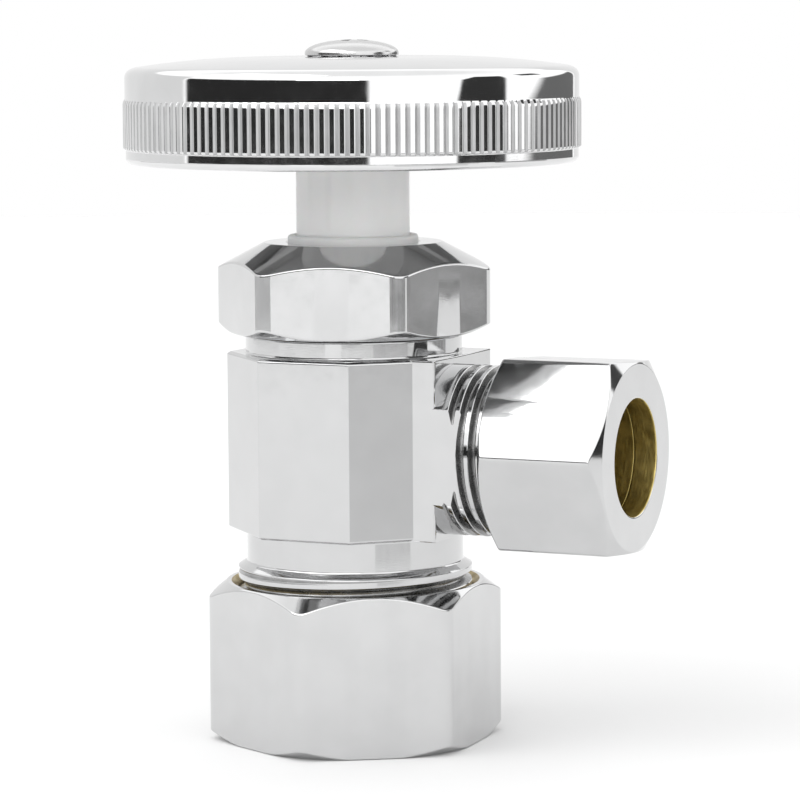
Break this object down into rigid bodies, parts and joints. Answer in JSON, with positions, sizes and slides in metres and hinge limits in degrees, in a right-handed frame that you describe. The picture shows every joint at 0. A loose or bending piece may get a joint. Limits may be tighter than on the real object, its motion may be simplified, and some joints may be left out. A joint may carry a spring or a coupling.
{
  "type": "angle stop valve",
  "caption": "Multi-turn angle stop valve with a knurled round handle, octagonal body, inlet compression nut below and smaller side outlet compression nut.",
  "frame": {"origin": "centre of the inlet nut's open mouth, where the supply tube enters", "axes": "+Z along the stem towards the handle, +X out through the outlet"},
  "size_m": [0.0447, 0.0384, 0.059],
  "materials": {
    "chrome_body": "polished chrome plate over a brass forging",
    "chrome_nut": "polished chrome plate over machined brass",
    "chrome_handle": "bright chrome plate on a pressed shell",
    "chrome_screw": "bright chrome plate",
    "steel": "bright steel",
    "stem_plastic": "satin moulded acetal, light grey",
    "hub_plastic": "moulded acetal, grey",
    "slip_plastic": "smooth white plastic",
    "gasket": "pressed fibre, red-brown",
    "rubber": "matt black rubber",
    "brass": "turned brass, satin"
  },
  "bodies": {
    "valve_body": {"valve_body": "chrome_body", "bonnet_gasket": "gasket", "packing_washer": "brass", "stem_packing": "rubber", "friction_ring": "slip_plastic"},
    "washer_carrier": {"washer_retainer": "brass", "seat_washer": "rubber", "washer_screw": "brass", "retainer_clip": "steel"},
    "stem_and_handle": {"stem": "stem_plastic", "handle_hub": "hub_plastic", "handle_shell": "chrome_handle", "lock_washer": "steel", "handle_screw": "chrome_screw"},
    "gland": {"gland_follower": "stem_plastic"},
    "bonnet_nut": {"bonnet_nut": "chrome_nut"},
    "inlet_ferrule": {"inlet_ferrule": "brass"},
    "inlet_nut": {"inlet_nut": "chrome_nut"},
    "outlet_ferrule": {"outlet_ferrule": "brass"},
    "outlet_nut": {"outlet_nut": "chrome_nut"}
  },
  "joints": [
    {"name": "washer_lift", "type": "slide", "parent": "valve_body", "child": "washer_carrier", "axis": [0, 0, 1], "range_m": [-0.00381, 0]},
    {"name": "handle_turn", "type": "hinge", "parent": "washer_carrier", "child": "stem_and_handle", "pos_m": [0, 0, 0.045], "axis": [0, 0, 1], "range_deg": [-1080, 0]},
    {"name": "gland_lift", "type": "slide", "parent": "valve_body", "child": "gland", "axis": [0, 0, 1], "range_m": [0, 0.00127]},
    {"name": "bonnet_nut_turn", "type": "hinge", "parent": "gland", "child": "bonnet_nut", "pos_m": [0, 0, 0.038], "axis": [0, 0, 1], "range_deg": [0, 360]},
    {"name": "inlet_ferrule_slide", "type": "slide", "parent": "valve_body", "child": "inlet_ferrule", "axis": [0, 0, -1], "range_m": [0, 0.00564]},
    {"name": "inlet_nut_turn", "type": "hinge", "parent": "inlet_ferrule", "child": "inlet_nut", "pos_m": [0, 0, 0.007], "axis": [0, 0, -1], "range_deg": [0, 1440]},
    {"name": "outlet_ferrule_slide", "type": "slide", "parent": "valve_body", "child": "outlet_ferrule", "axis": [1, 0, 0], "range_m": [0, 0.00318]},
    {"name": "outlet_nut_turn", "type": "hinge", "parent": "outlet_ferrule", "child": "outlet_nut", "pos_m": [0.02, 0, 0.0249], "axis": [1, 0, 0], "range_deg": [0, 1080]}
  ],
  "couplings": [
    {"joint": "washer_lift", "follows": "handle_turn", "m_per_rad": 0.00020213},
    {"joint": "gland_lift", "follows": "bonnet_nut_turn", "m_per_rad": 0.00020213},
    {"joint": "inlet_ferrule_slide", "follows": "inlet_nut_turn", "m_per_rad": 0.00022459},
    {"joint": "outlet_ferrule_slide", "follows": "outlet_nut_turn", "m_per_rad": 0.00016844}
  ]
}
